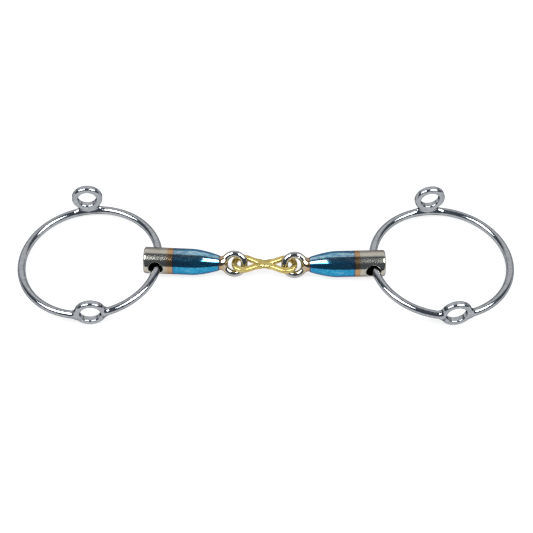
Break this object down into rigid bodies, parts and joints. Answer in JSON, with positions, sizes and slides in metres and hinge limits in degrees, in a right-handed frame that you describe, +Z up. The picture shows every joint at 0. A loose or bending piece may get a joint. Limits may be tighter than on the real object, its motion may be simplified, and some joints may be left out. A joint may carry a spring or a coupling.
{
  "type": "loose-ring gag snaffle bit",
  "caption": "Double-jointed horse bit with heat-blued mouthpiece halves, a brass link, and loose cheek rings that carry guide eyelets.",
  "frame": {"origin": "centre of the bounding box in X and Y, on the surface that the bit lies on", "axes": "+X runs along the mouthpiece from the left cheek ring to the right one, +Y runs towards the upper eyelets, +Z is up off the surface"},
  "size_m": [0.3064, 0.0908, 0.0252],
  "materials": {
    "link_brass": "cast brass, lightly polished",
    "canon_steel": "heat-blued polished mild steel, with bronze tint bands, a satin barrel end and a bright polished eye",
    "ring_steel": "mirror-polished stainless steel"
  },
  "bodies": {
    "link": {"centre_link": "link_brass"},
    "left_canon": {"left_canon": "canon_steel"},
    "right_canon": {"right_canon": "canon_steel"},
    "left_cheek": {"left_cheek_ring": "ring_steel", "left_upper_eyelet": "ring_steel", "left_lower_eyelet": "ring_steel"},
    "right_cheek": {"right_cheek_ring": "ring_steel", "right_upper_eyelet": "ring_steel", "right_lower_eyelet": "ring_steel"}
  },
  "joints": [
    {"name": "left_fold", "type": "hinge", "parent": "link", "child": "left_canon", "pos_m": [-0.01375, -0.00415, 0.0082], "axis": [0, 0, 1], "range_deg": [-65, 65]},
    {"name": "right_fold", "type": "hinge", "parent": "link", "child": "right_canon", "pos_m": [0.01225, -0.00471, 0.0082], "axis": [0, 0, 1], "range_deg": [-65, 65]},
    {"name": "left_ring_turn", "type": "hinge", "parent": "left_canon", "child": "left_cheek", "pos_m": [-0.1084, -0.00083, 0.00602], "axis": [-0.0592, 0.0612, 0.9964], "range_deg": [-75, 58]},
    {"name": "right_ring_turn", "type": "hinge", "parent": "right_canon", "child": "right_cheek", "pos_m": [0.1084, -0.00083, 0.00626], "axis": [0.0592, 0.0691, 0.9959], "range_deg": [-66, 64]}
  ]
}
